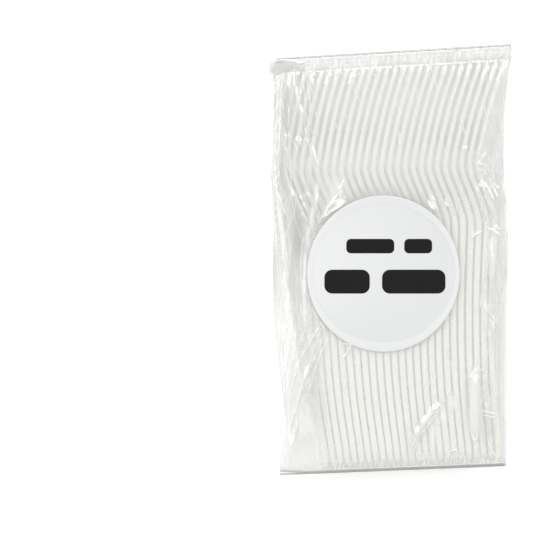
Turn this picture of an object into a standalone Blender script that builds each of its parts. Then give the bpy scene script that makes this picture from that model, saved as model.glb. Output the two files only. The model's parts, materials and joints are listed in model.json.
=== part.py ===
"""A clear film pack of fifty plastic forks with a round label, in metres, +Z up.

The pack lies on its back: forks run along Y with their tines at +Y, stand on edge, and nest along X in
two layers, one above the other. Heads are wider than handles, so the pack is a wedge, thick at the tines.
"""

import math

import bmesh
import bpy

# Driving sizes, in metres
PACK_LENGTH = 0.168
PACK_WIDTH = 0.0952
FORKS_IN_LAYER = 25
FORK_LENGTH = 0.157
FORK_THICKNESS = 0.0018
HEAD_WIDTH = 0.0266
HANDLE_WIDTH = 0.0115
HANDLE_TAPER = 0.010
TINES = 4
TINE_LENGTH = 0.0335
LABEL_DIAMETER = 0.060
LABEL_THICKNESS = 0.0002
FILM_THICKNESS = 0.0003
SEAL_WIDTH = 0.0011
CLEARANCE = 0.0004

BOWL = 0.1175

# A fork seen from its edge: distance from the handle's end, and sideways offset from the bowl's low point
SIDE_LINE = (
    (0.000, 0.0103),
    (0.010, 0.0094),
    (0.032, 0.0073),
    (0.064, 0.0065),
    (0.092, 0.0072),
    (0.098, 0.0063),
    (0.105, 0.0040),
    (0.112, 0.0013),
    (BOWL, 0.0),
    (FORK_LENGTH - TINE_LENGTH, 0.0008),
    (0.141, 0.0047),
    (0.154, 0.0089),
    (FORK_LENGTH, 0.0099),
)

# A fork seen flat, up to the roots of its slots: distance from the handle's end, and half width
HANDLE_LINE = (
    (0.000, 0.0036),
    (0.0025, 0.0053),
    (HANDLE_TAPER, HANDLE_WIDTH / 2),
    (0.032, 0.0055),
    (0.064, 0.0049),
    (0.092, 0.0045),
    (0.098, 0.0050),
    (0.105, 0.0067),
    (0.112, 0.0101),
    (BOWL, 0.0124),
)

# A tine, from its root: share of its length, its half width, and how far an outer tine leans in
TINE_LINE = (
    (0.0, 0.0027, 0.0),
    (0.5, 0.0023, 0.0002),
    (0.92, 0.0017, 0.0005),
    (1.0, 0.0009, 0.0005),
)

# The stack: where the bowls' low points are, and how the forks fan out
STACK_LEFT = -0.0405
PITCH = 0.0031
STACK_Y = -0.0008
STACK_SKEW = 0.05
FAN = 0.065
FAN_CENTRE = 0.78

# The bag's outline along its length, as (y, x); the low edge is the bag's widest line
LEFT_EDGE = (
    (-0.0820, -0.0427),
    (-0.0740, -0.0423),
    (-0.0620, -0.0402),
    (-0.0400, -0.0427),
    (-0.0140, -0.0450),
    (0.0400, -0.0460),
    (0.0700, -0.0452),
    (0.0800, -PACK_WIDTH / 2),
)
LEFT_SHOULDER = (
    (-0.0820, -0.0290),
    (-0.0400, -0.0370),
    (0.0000, -0.0420),
    (0.0400, -0.0440),
    (0.0820, -0.0440),
)
RIGHT_EDGE = (
    (-0.0820, 0.0462),
    (0.0040, 0.0462),
    (0.0300, 0.0448),
    (0.0520, 0.0448),
    (0.0700, 0.0464),
    (0.0800, PACK_WIDTH / 2),
)
TOP_SKEW = 0.06
BOTTOM_SKEW = 0.04
END_MARGIN = 0.0004
CORNER_RADIUS = 0.0025
CORNER_STEPS = 2
SEAM_X = 0.004
SEAM_GAP = 0.0004
SEAM_LENGTH = 0.150
SEAL_FLAT = 0.0001
BAG_STATIONS = (-0.062, -0.040, -0.014, 0.004, 0.030, 0.0457, 0.070)
LABEL_X = -0.0023
LABEL_Y = -0.0051

# Heights of the two layers follow from a fork's widths: each rests on its head's edge and its handle's
EDGE_SLOPE = math.atan2((HEAD_WIDTH - HANDLE_WIDTH) / 2, FORK_LENGTH - TINE_LENGTH - HANDLE_TAPER)
SHARE, HALF, LEAN = TINE_LINE[2]
TINE_SLOPE = math.atan2(TINE_LINE[0][1] + LEAN - HALF, TINE_LENGTH * SHARE)
LOW_TILT = EDGE_SLOPE
TOP_TILT = 3 * EDGE_SLOPE
FLOOR = FILM_THICKNESS + CLEARANCE


def between(line, at):
    """The value at this distance on a line of (distance, value) points."""
    for (a, low), (b, high) in zip(line, line[1:]):
        if at <= b:
            return low + (high - low) * (at - a) / (b - a)
    return line[-1][1]


def new_object(name, mesh, material, collection):
    obj = bpy.data.objects.new(name, mesh)
    obj.data.materials.append(material)
    collection.objects.link(obj)
    return obj


def plastic(name, colour, roughness, alpha=1.0):
    material = bpy.data.materials.new(name)
    material.use_nodes = True
    shader = material.node_tree.nodes["Principled BSDF"]
    shader.inputs["Base Color"].default_value = (*colour, 1.0)
    shader.inputs["Roughness"].default_value = roughness
    shader.inputs["Metallic"].default_value = 0.0
    shader.inputs["Alpha"].default_value = alpha
    return material


def clear_scene():
    for obj in list(bpy.data.objects):
        bpy.data.objects.remove(obj)


def row(bm, along, widths):
    """Points across the fork at one distance along it, on its side line, measured from the bowl."""
    side = between(SIDE_LINE, along)
    return [bm.verts.new((side, along - BOWL, width)) for width in widths]


def fork_mesh():
    """The fork's middle surface: a handle strip, one face for the bowl's front, and four tine strips."""
    bm = bmesh.new()
    handle = [row(bm, along, (-half, half)) for along, half in HANDLE_LINE]
    for (a, b), (c, d) in zip(handle, handle[1:]):
        bm.faces.new((a, b, d, c))
    root = FORK_LENGTH - TINE_LENGTH
    step = (HEAD_WIDTH - 2 * TINE_LINE[0][1]) / (TINES - 1)
    front = []
    for tine in range(TINES):
        place = tine - (TINES - 1) / 2
        strip = []
        for share, half, lean in TINE_LINE:
            is_outer = abs(place) > TINES / 2 - 1
            middle = place * step - math.copysign(lean, place) * is_outer
            strip.append(row(bm, root + share * TINE_LENGTH, (middle - half, middle + half)))
        for (a, b), (c, d) in zip(strip, strip[1:]):
            bm.faces.new((a, b, d, c))
        front += strip[0]
    bm.faces.new((*handle[-1], *reversed(front)))
    bmesh.ops.recalc_face_normals(bm, faces=bm.faces)
    mesh = bpy.data.meshes.new("fork")
    bm.to_mesh(mesh)
    bm.free()
    return mesh


def add_forks(collection):
    """Two layers of nested forks, named from the left. The meshes are shared."""
    mesh = fork_mesh()
    white = plastic("fork_plastic", (0.86, 0.86, 0.83), 0.35)
    low_height = FLOOR + HEAD_WIDTH / 2
    layers = {
        "lower_fork": (LOW_TILT, low_height),
        "upper_fork": (TOP_TILT, low_height + HEAD_WIDTH + 2 * CLEARANCE),
    }
    reach = FORK_LENGTH - TINE_LENGTH - BOWL
    for layer, (tilt, root_height) in layers.items():
        for i in range(FORKS_IN_LAYER):
            share = i / (FORKS_IN_LAYER - 1)
            obj = new_object(f"{layer}_{i + 1:02d}", mesh, white, collection)
            across = i * PITCH
            middle = (FORKS_IN_LAYER - 1) * PITCH / 2
            obj.location = (
                STACK_LEFT + across,
                bowl_y(tilt) + STACK_SKEW * (across - middle),
                root_height - reach * math.sin(tilt),
            )
            obj.rotation_euler = (tilt, 0.0, FAN * (FAN_CENTRE - share))
            wall = obj.modifiers.new("thickness", "SOLIDIFY")
            wall.thickness = FORK_THICKNESS
            wall.offset = 0.0
            wall.use_even_offset = True


def bowl_y(tilt):
    """Where the middle fork's bowl is, when its middle is at the stack's middle."""
    return STACK_Y + (BOWL - FORK_LENGTH / 2) * math.cos(tilt)


def top_height(y):
    """The height of the bag's upper face, along the upper layer's edges and then its tines."""
    root = bowl_y(TOP_TILT) + (FORK_LENGTH - TINE_LENGTH - BOWL) * math.cos(TOP_TILT)
    at_root = FLOOR + 2 * HEAD_WIDTH + 4 * CLEARANCE + FILM_THICKNESS
    slope = math.tan(TOP_TILT + EDGE_SLOPE)
    if y < root:
        return at_root + (y - root) * slope
    return at_root + (y - root) * math.tan(TOP_TILT - TINE_SLOPE)


def corner(centre, start, radius):
    """A quarter turn of a rounded corner, anticlockwise from the angle start, as (x, z)."""
    angles = [start + i * math.pi / 2 / CORNER_STEPS for i in range(CORNER_STEPS + 1)]
    return [(centre[0] + radius * math.cos(a), centre[1] + radius * math.sin(a)) for a in angles]


def bag_section(y, low, high, inset):
    """The bag across its length, anticlockwise from its low right corner, as (x, z)."""
    left, right = between(LEFT_EDGE, y) + inset, between(RIGHT_EDGE, y) - inset
    shoulder = between(LEFT_SHOULDER, y) + inset
    r = min(CORNER_RADIUS - inset, (high - low) / 2 - SEAL_FLAT)
    under_right = corner((right - r, low + r), -math.pi / 2, r)
    over_right = corner((right - r, high - r), 0.0, r)
    over_left = corner((shoulder + r, high - r), math.pi / 2, r)
    under_left = corner((left + r, low + r), math.pi, r)
    return under_right + over_right + over_left + under_left


def skewed(x, y):
    """y with the bag's slanting ends: both rise to the right, the top one more."""
    share = (y + PACK_LENGTH / 2) / PACK_LENGTH
    return y + x * (BOTTOM_SKEW + (TOP_SKEW - BOTTOM_SKEW) * share)


def loft(name, sections, collection):
    """A closed solid through these rings of points, with flat ends."""
    bm = bmesh.new()
    rings = [[bm.verts.new(point) for point in section] for section in sections]
    for near, far in zip(rings, rings[1:]):
        for i, vert in enumerate(near):
            after = (i + 1) % len(near)
            bm.faces.new((vert, near[after], far[after], far[i]))
    bm.faces.new(rings[0])
    bm.faces.new(rings[-1])
    bmesh.ops.recalc_face_normals(bm, faces=bm.faces)
    mesh = bpy.data.meshes.new(name)
    bm.to_mesh(mesh)
    bm.free()
    obj = bpy.data.objects.new(name, mesh)
    collection.objects.link(obj)
    return obj


def bag_sections(inset):
    """The bag's rings of points, inset by the film's thickness or by nothing, from the low end up."""
    top = PACK_LENGTH / 2 - TOP_SKEW * PACK_WIDTH / 2
    bottom = -PACK_LENGTH / 2 - BOTTOM_SKEW * LEFT_EDGE[0][1]
    ends = []
    for end, way in ((bottom, 1), (top, -1)):
        face = end + way * SEAL_WIDTH
        middle = top_height(face) / 2
        full = face + way * (END_MARGIN + inset)
        seal = [(y, middle - FILM_THICKNESS, middle + FILM_THICKNESS) for y in (end, face)]
        ends.append((seal if inset == 0 else []) + [(full, inset, top_height(full) - inset)])
    middles = [(y, inset, top_height(y) - inset) for y in BAG_STATIONS]
    stations = ends[0] + middles + ends[1][::-1]
    return [
        [(x, skewed(x, y), z) for x, z in bag_section(y, low, high, inset)] for y, low, high in stations
    ]


def hide(helper):
    helper.hide_render = True
    helper.display_type = "WIRE"
    return helper


def cut(target, cutter):
    """Takes the cutter's shape out of the target."""
    boolean = target.modifiers.new(cutter.name, "BOOLEAN")
    boolean.operation = "DIFFERENCE"
    boolean.solver = "EXACT"
    boolean.object = hide(cutter)


def add_bag(collection, helpers):
    """A thin-walled bag, sealed at both ends, with its back seam open by a hair along its length."""
    bag = loft("film_bag", bag_sections(0.0), collection)
    bag.data.materials.append(plastic("clear_film", (0.95, 0.95, 0.95), 0.1, alpha=0.3))
    cut(bag, loft("bag_inside", bag_sections(FILM_THICKNESS), helpers))
    bm = bmesh.new()
    bmesh.ops.create_cube(bm, size=1.0)
    bmesh.ops.scale(bm, vec=(SEAM_GAP, SEAM_LENGTH, 4 * FILM_THICKNESS), verts=bm.verts)
    bmesh.ops.translate(bm, vec=(SEAM_X, 0.0, 0.0), verts=bm.verts)
    mesh = bpy.data.meshes.new("back_seam")
    bm.to_mesh(mesh)
    bm.free()
    seam = bpy.data.objects.new("back_seam", mesh)
    helpers.objects.link(seam)
    cut(bag, seam)


def add_label(collection):
    """A round paper label on the upper face, just clear of the film."""
    paper = plastic("label_paper", (0.80, 0.81, 0.82), 0.5)
    bm = bmesh.new()
    bmesh.ops.create_cone(
        bm,
        cap_ends=True,
        segments=48,
        radius1=LABEL_DIAMETER / 2,
        radius2=LABEL_DIAMETER / 2,
        depth=LABEL_THICKNESS,
    )
    mesh = bpy.data.meshes.new("round_label")
    bm.to_mesh(mesh)
    bm.free()
    label = new_object("round_label", mesh, paper, collection)
    slope = TOP_TILT + EDGE_SLOPE
    skew = (BOTTOM_SKEW + TOP_SKEW) / 2
    lift = (CLEARANCE + LABEL_THICKNESS / 2) / math.cos(slope)
    label.location = (LABEL_X, LABEL_Y, top_height(LABEL_Y - skew * LABEL_X) + lift)
    label.rotation_euler = (slope, math.atan(skew * math.tan(slope)), 0.0)


def main():
    clear_scene()
    pack = bpy.data.collections.new("cutlery_pack")
    helpers = bpy.data.collections.new("helpers")
    bpy.context.scene.collection.children.link(pack)
    bpy.context.scene.collection.children.link(helpers)
    add_forks(pack)
    add_bag(pack, helpers)
    add_label(pack)


main()
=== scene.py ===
"""A clear film pack of plastic forks, laid out as an add-on: each operator makes one piece or group.

It is run as a script. main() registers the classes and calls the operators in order.
"""

import json
import math

import bmesh
import bpy
import numpy as np
from bpy.props import FloatProperty, FloatVectorProperty, PointerProperty
from mathutils import Euler, Matrix, Vector
from mathutils.bvhtree import BVHTree

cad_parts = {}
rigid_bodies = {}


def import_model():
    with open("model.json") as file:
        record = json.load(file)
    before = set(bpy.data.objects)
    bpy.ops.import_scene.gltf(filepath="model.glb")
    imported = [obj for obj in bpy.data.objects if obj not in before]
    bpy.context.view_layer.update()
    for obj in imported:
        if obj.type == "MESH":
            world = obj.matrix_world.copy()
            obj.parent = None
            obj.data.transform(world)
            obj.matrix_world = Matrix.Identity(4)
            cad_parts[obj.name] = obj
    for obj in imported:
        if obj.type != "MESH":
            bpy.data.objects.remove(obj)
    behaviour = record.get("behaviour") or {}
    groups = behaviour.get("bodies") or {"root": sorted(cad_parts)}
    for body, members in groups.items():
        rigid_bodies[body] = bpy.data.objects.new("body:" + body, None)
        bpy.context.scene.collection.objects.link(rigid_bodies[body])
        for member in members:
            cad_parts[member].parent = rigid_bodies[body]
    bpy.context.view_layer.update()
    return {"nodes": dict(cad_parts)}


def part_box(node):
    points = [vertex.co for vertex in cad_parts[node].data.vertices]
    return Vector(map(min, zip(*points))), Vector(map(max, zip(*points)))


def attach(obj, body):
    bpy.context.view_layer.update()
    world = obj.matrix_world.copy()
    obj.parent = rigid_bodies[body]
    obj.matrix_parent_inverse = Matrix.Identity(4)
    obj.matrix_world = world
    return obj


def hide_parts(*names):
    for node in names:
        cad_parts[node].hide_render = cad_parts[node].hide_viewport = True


bl_info = {
    "name": "Cutlery Pack",
    "version": (1, 0, 0),
    "blender": (4, 5, 0),
    "location": "View3D > Sidebar > Pack",
    "description": "Builds a clear film pack of nested forks with a round label",
    "category": "Object",
}

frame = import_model()
MM = 0.001

LAYERS = ("lower_fork", "upper_fork")
FORKS_IN_LAYER = sum(name.startswith(LAYERS[0]) for name in frame["nodes"])
FORK_LENGTH = 0.157
BOWL = 0.1175
TINE_LENGTH = 0.0335
HEAD_WIDTH = 0.0266
HANDLE_WIDTH = 0.0115
TINES = 4
EDGE_SLOPE = math.atan2((HEAD_WIDTH - HANDLE_WIDTH) / 2, FORK_LENGTH - TINE_LENGTH - 0.010)
TILTS = (EDGE_SLOPE, 3 * EDGE_SLOPE)
FAN = 0.065
FAN_CENTRE = 0.78


# ---------------------------------------------------------------- shader maths


class Socket:
    """A node's output that takes part in Python sums. Every sum adds its Math node."""

    def __init__(self, tree, link):
        self.tree = tree
        self.link = link

    def beside(self, output):
        """Another output of the same node."""
        return Socket(self.tree, self.link.node.outputs[output])

    def maths(self, operation, *others):
        values = dict(enumerate((self, *others)))
        return add(self.tree, "ShaderNodeMath", {"operation": operation}, values)

    def __add__(self, other):
        return self.maths("ADD", other)

    def __sub__(self, other):
        return self.maths("SUBTRACT", other)

    def __rsub__(self, other):
        return (self * -1.0) + other

    def __mul__(self, other):
        return self.maths("MULTIPLY", other)

    def __truediv__(self, other):
        return self.maths("DIVIDE", other)

    def __rtruediv__(self, other):
        return (self**-1.0) * other

    def __pow__(self, other):
        return self.maths("POWER", other)

    __radd__ = __add__
    __rmul__ = __mul__

    def least(self, other):
        return self.maths("MINIMUM", other)

    def most(self, other):
        return self.maths("MAXIMUM", other)

    def ramp(self, low, high):
        """0 below low and 1 above high, smoothly between."""
        values = {"Value": self, "From Min": low, "From Max": high}
        return add(self.tree, "ShaderNodeMapRange", {"interpolation_type": "SMOOTHSTEP"}, values, "Result")


def put(tree, slot, value):
    """Links a Socket to a node's input, or sets the input to a plain value."""
    if isinstance(value, Socket):
        tree.links.new(value.link, slot)
    else:
        slot.default_value = value


def add(tree, kind, settings=None, inputs=None, output=0):
    """Adds a node of any kind: its settings first, then the values or links of its inputs."""
    node = tree.nodes.new(kind)
    for key, value in (settings or {}).items():
        setattr(node, key, value)
    for key, value in (inputs or {}).items():
        put(tree, node.inputs[key], value)
    return Socket(tree, node.outputs[output]) if len(node.outputs) else None


# A Mix node's sockets for colours
MIX_FIRST, MIX_SECOND, MIX_RESULT = 6, 7, 2


class Shader:
    """A new material with an empty tree, filled by node() and closed by surface()."""

    def __init__(self, name):
        self.material = bpy.data.materials.new(name)
        self.material.use_nodes = True
        self.tree = self.material.node_tree
        self.tree.nodes.clear()

    def node(self, kind, settings=None, inputs=None, output=0):
        return add(self.tree, "ShaderNode" + kind, settings, inputs, output)

    def place(self, scale=(1.0, 1.0, 1.0)):
        """Object coordinates, stretched, in metres times scale."""
        at = self.node("TexCoord", output="Object")
        return self.node("Mapping", inputs={"Vector": at, "Scale": scale})

    def noise(self, scale, stretch=(1.0, 1.0, 1.0), detail=3.0, roughness=0.5):
        values = {"Vector": self.place(stretch), "Scale": scale, "Detail": detail, "Roughness": roughness}
        return self.node("TexNoise", inputs=values, output="Fac")

    def bump(self, height, distance, strength=1.0):
        return self.node("Bump", inputs={"Height": height, "Distance": distance, "Strength": strength})

    def blend(self, factor, first, second):
        values = {"Factor": factor, MIX_FIRST: first, MIX_SECOND: second}
        return self.node("Mix", {"data_type": "RGBA"}, values, MIX_RESULT)

    def plastic(self, **inputs):
        """A Principled BSDF whose inputs are named with _ for each space."""
        return self.node("BsdfPrincipled", inputs={key.replace("_", " "): inputs[key] for key in inputs})

    def see_through(self, clear, gloss, share):
        """Clear film of this tint, with this share of a glossy surface over it."""
        tint = self.node("BsdfTransparent", inputs={"Color": clear})
        return self.surface(self.node("MixShader", inputs={0: share.least(MOST_GLOSS), 1: tint, 2: gloss}))

    def surface(self, shader):
        self.node("OutputMaterial", inputs={"Surface": shader})
        return self.material


def opaque(colour):
    return (*colour, 1.0)


def fork_plastic(look):
    """Off-white moulded plastic, faintly uneven, with a soft gloss and a faint painted glow in its own
    colour that lightens it, also in the gaps between forks.
    """
    s = Shader("fork_plastic")
    cloud = s.noise(60.0, detail=2.0)
    cool = opaque(c * look.fork_variation for c in look.fork_colour)
    grain = s.noise(900.0, stretch=(1.0, 0.35, 1.0), detail=2.0)
    skin = s.plastic(
        Base_Color=s.blend(cloud.ramp(0.35, 0.7), opaque(look.fork_colour), cool),
        Roughness=cloud * 0.12 + look.fork_roughness,
        Normal=s.bump(grain, 0.00006, 0.5),
        IOR=1.46,
        Subsurface_Weight=look.fork_spread,
        Subsurface_Scale=0.003,
        Subsurface_Radius=(1.0, 1.0, 0.9),
        # Painted light: the plastic glows faintly in its own colour, standing in for light that comes
        # through it from behind
        Emission_Color=opaque(look.fork_colour),
        Emission_Strength=look.fork_painted_glow,
    )
    return s.surface(skin)


# What the film's skin carries at each point, from 0 to 1: painted highlight (shine), painted shade (shade),
# how crinkled it is (loose) and how calm its gloss is near the top seal (calm)
FILM_LAYERS = ("shine", "shade", "loose", "calm")
MOST_GLOSS = 0.92
FILM_IOR = 1.5


def film_material(look):
    """Clear glossy film: mostly see-through, with painted highlight that whitens its crests and painted
    shade that greys it where it is steep.
    """
    s = Shader("clear_film")
    shine, shade, loose, calm = (
        s.node("Attribute", {"attribute_name": name}, output="Fac") for name in FILM_LAYERS
    )
    long_noise = s.noise(95.0, stretch=(1.9, 0.22, 1.0), detail=2.0, roughness=0.45)
    ridge = 1.0 - ((long_noise - 0.5) * 2.0).maths("ABSOLUTE")
    ridge = ridge.ramp(0.86, 0.995) * loose
    slant = s.noise(80.0, stretch=(2.2, 0.45, 1.0), detail=1.0, roughness=0.4)
    fold = (1.0 - ((slant - 0.46) * 2.0).maths("ABSOLUTE")).ramp(0.9, 0.995) * loose
    fine = s.noise(430.0, stretch=(1.0, 0.5, 1.0), detail=2.0)
    height = ridge * 0.5 + fold * 0.4 + long_noise * 0.6 + fine * 0.08
    normal = s.bump(height, 0.0007, look.film_crinkle)
    gloss = s.plastic(
        # Painted shade: the gloss turns grey where the shade attribute is high
        Base_Color=s.blend(shade, opaque(look.film_white), opaque(look.film_shade_grey)),
        Roughness=calm * 0.3 + look.film_roughness,
        Metallic=(1.0 - calm) * look.film_mirror,
        IOR=FILM_IOR,
        Normal=normal,
    )
    facing = s.node("LayerWeight", inputs={"Blend": 0.3, "Normal": normal}, output="Facing")
    share = (facing**2.0) * look.film_edge + look.film_haze
    # Painted highlight on crests and along the crinkles, painted shade where steep: both raise the share of
    # whitish gloss
    share = share + shine * look.film_shine + shade * 0.35 + (ridge + fold * 0.7) * 0.12
    return s.see_through(opaque(look.film_tint), gloss, share)


def fold_material(look):
    """The film where it is doubled into a fold: whiter and glossier than the rest, partly as doubled film
    is and partly as a painted highlight along the fold.
    """
    s = Shader("folded_film")
    fine = s.noise(700.0, detail=2.0)
    normal = s.bump(fine, 0.0001, 0.4)
    gloss = s.plastic(
        Base_Color=opaque(look.film_white),
        Roughness=look.film_roughness * 0.8,
        Metallic=look.film_mirror,
        IOR=FILM_IOR,
        Normal=normal,
    )
    facing = s.node("LayerWeight", inputs={"Blend": 0.3, "Normal": normal}, output="Facing")
    # The white share is partly the doubled film's haze and partly a painted highlight
    share = (facing**2.0) * 0.4 + look.fold_haze_and_highlight + fine * 0.15
    return s.see_through((0.98, 0.98, 0.98, 1.0), gloss, share)


def label_paper(look):
    """Smooth pale grey label with painted light: a little lighter towards its upper left, on the key
    light's side, with a painted highlight on the raised ring at its rim and a thin painted shade line
    inside it.
    """
    s = Shader("label_paper")
    x = s.node("SeparateXYZ", inputs={0: s.node("TexCoord", output="Object")}, output="X")
    y = x.beside("Y")
    low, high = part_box("round_label")
    centre, reach = (low + high) / 2, (high - low) / 2
    # Painted light: lighter towards the upper left, on the key light's side
    across = (x - centre.x) * -1.0 + (y - centre.y)
    light = across.ramp(-0.03, 0.045)
    out = (((x - centre.x) / reach.x) ** 2.0 + ((y - centre.y) / reach.y) ** 2.0) ** 0.5
    # Painted shade: a thin darker line at the inner foot of the raised ring, and a painted highlight on the
    # ring itself
    painted_ring_shade = out.ramp(0.895, 0.915) * (1.0 - out.ramp(0.925, 0.94))
    light = light.most(out.ramp(0.925, 0.945) * 0.8) - painted_ring_shade * 0.35
    grain = s.noise(1500.0, detail=2.0)
    paper = s.plastic(
        Base_Color=s.blend(light, opaque(look.label_painted_shade), opaque(look.label_colour)),
        Roughness=grain * 0.1 + 0.42,
        Normal=s.bump(grain, 0.00002, 0.4),
    )
    return s.surface(paper)


def label_ink(look):
    """Matt black ink, hardly glossy."""
    s = Shader("label_ink")
    rough = s.noise(1800.0, detail=2.0) * 0.15 + 0.5
    ink = s.plastic(Base_Color=opaque(look.ink_colour), Roughness=rough, Specular_IOR_Level=0.15)
    return s.surface(ink)


def floor_paint(look):
    """Pale paint, faintly clouded, that glows a little so that shadows stay pale."""
    s = Shader("pale_floor")
    darker = opaque(c * 0.99 for c in look.floor_colour)
    paint = s.plastic(
        Base_Color=s.blend(s.noise(3.0, detail=1.0), opaque(look.floor_colour), darker),
        Roughness=0.6,
        Emission_Color=(1.0, 1.0, 1.0, 1.0),
        Emission_Strength=look.floor_glow,
    )
    return s.surface(paint)


# ---------------------------------------------------------------- shared helpers


def smooth_line(points, steps):
    """A Catmull-Rom curve through the points, each a tuple of any length."""
    p = np.array(points, float)
    p = np.vstack([2 * p[0] - p[1], p, 2 * p[-1] - p[-2]])
    t = np.linspace(0.0, 1.0, steps, endpoint=False)[:, None]
    spans = [
        0.5
        * (
            2 * b
            + (c - a) * t
            + (2 * a - 5 * b + 4 * c - d) * t**2
            + (3 * b - a - 3 * c + d) * t**3
        )
        for a, b, c, d in zip(p, p[1:], p[2:], p[3:])
    ]
    return np.vstack([*spans, p[-2][None]])


def along(line, at):
    """The value at a distance on a line of (distance, value) points, smoothed."""
    fine = smooth_line(line, 8)
    return np.interp(at, fine[:, 0], fine[:, 1])


def new_piece(name, mesh, material, replaced=()):
    """Links a finished mesh, rides it on the root and hides the frame's parts that it stands for."""
    obj = bpy.data.objects.new(name, mesh)
    bpy.context.scene.collection.objects.link(obj)
    mesh.materials.clear()
    mesh.materials.append(material)
    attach(obj, "root")
    if replaced:
        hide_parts(*replaced)


def applied(obj):
    """The object's evaluated mesh as a plain one. The object is removed."""
    graph = bpy.context.evaluated_depsgraph_get()
    mesh = bpy.data.meshes.new_from_object(obj.evaluated_get(graph), depsgraph=graph)
    bpy.data.objects.remove(obj)
    return mesh


def scratch(name, mesh):
    """An object that holds a mesh only while modifiers work on it."""
    obj = bpy.data.objects.new(name, mesh)
    bpy.context.scene.collection.objects.link(obj)
    return obj


def mesh_of(bm, name):
    """The mesh of a finished bmesh, which is freed."""
    mesh = bpy.data.meshes.new(name)
    bm.to_mesh(mesh)
    bm.free()
    return mesh


def growth_tree(name, numbers):
    """A node group that takes geometry, named numbers and a material. Its first input is given too."""
    tree = bpy.data.node_groups.new(name, "GeometryNodeTree")
    kinds = {"Geometry": "NodeSocketGeometry", **numbers, "Material": "NodeSocketMaterial"}
    for label, kind in kinds.items():
        tree.interface.new_socket(label, in_out="INPUT", socket_type=kind)
    tree.interface.new_socket("Geometry", in_out="OUTPUT", socket_type="NodeSocketGeometry")
    return tree, add(tree, "NodeGroupInput")


def finished_tree(tree, shape, material):
    """Ends a node group: its copies are made real and take the material."""
    real = add(tree, "GeometryNodeRealizeInstances", inputs={0: shape})
    painted = add(tree, "GeometryNodeSetMaterial", inputs={"Geometry": real, "Material": material})
    add(tree, "NodeGroupOutput", inputs={0: painted})
    return tree


def grown(name, mesh, tree, values):
    """What a node group makes of a mesh, as a plain mesh."""
    obj = scratch(name, mesh)
    modifier = obj.modifiers.new(name, "NODES")
    modifier.node_group = tree
    for item in tree.interface.items_tree:
        if item.in_out == "INPUT" and item.name in values:
            modifier[item.identifier] = values[item.name]
    return applied(obj)


# ---------------------------------------------------------------- forks

# From its edge: distance from the handle's end, sideways offset from the bowl's low point
SIDE_LINE = (
    (0.000, 0.0103),
    (0.010, 0.0094),
    (0.032, 0.0073),
    (0.064, 0.0065),
    (0.092, 0.0072),
    (0.098, 0.0063),
    (0.105, 0.0040),
    (0.112, 0.0013),
    (BOWL, 0.0),
    (FORK_LENGTH - TINE_LENGTH, 0.0008),
    (0.141, 0.0047),
    (0.154, 0.0089),
    (FORK_LENGTH, 0.0099),
)
# Flat: distance from the handle's end, half width
HALF_LINE = (
    (0.000, 0.0036),
    (0.0025, 0.0053),
    (0.010, HANDLE_WIDTH / 2),
    (0.032, 0.0055),
    (0.064, 0.0049),
    (0.092, 0.0045),
    (0.098, 0.0050),
    (0.105, 0.0067),
    (0.112, 0.0101),
    (BOWL, 0.0124),
    (FORK_LENGTH - TINE_LENGTH, HEAD_WIDTH / 2),
)
# A tine from its root: share of its length, half width, how far an outer tine leans in
TINE_LINE = (
    (0.0, 0.00265, 0.0),
    (0.12, 0.0026, 0.0),
    (0.35, 0.0024, 0.0001),
    (0.62, 0.0022, 0.0003),
    (0.84, 0.0018, 0.0005),
    (0.95, 0.0014, 0.0005),
    (1.0, 0.0008, 0.0005),
)
# Where rows of points lie along the handle, and where its ribs start and end, in millimetres
HANDLE_ROWS = (0, 1, 2.5, 6, 10, 20, 30, 42, 54, 66, 78, 86, 92, 95, 98, 102, 106, 110, 114, 117.5, 121)
RIBS_FROM, RIBS_TO = 9, 80
# Where the thick end of the handle stops, and where the head starts to widen, from the handle's end
END_LEDGE = 0.006
HEAD_START = 0.098
# The ledge's inner foot in rim widths, and the middle points' place as a share of the half width
LEDGE_FOOT = 2.1
SPINE = 0.2
# How much thinner a tine's tip is than its root
TINE_THINNING = 0.2


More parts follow.
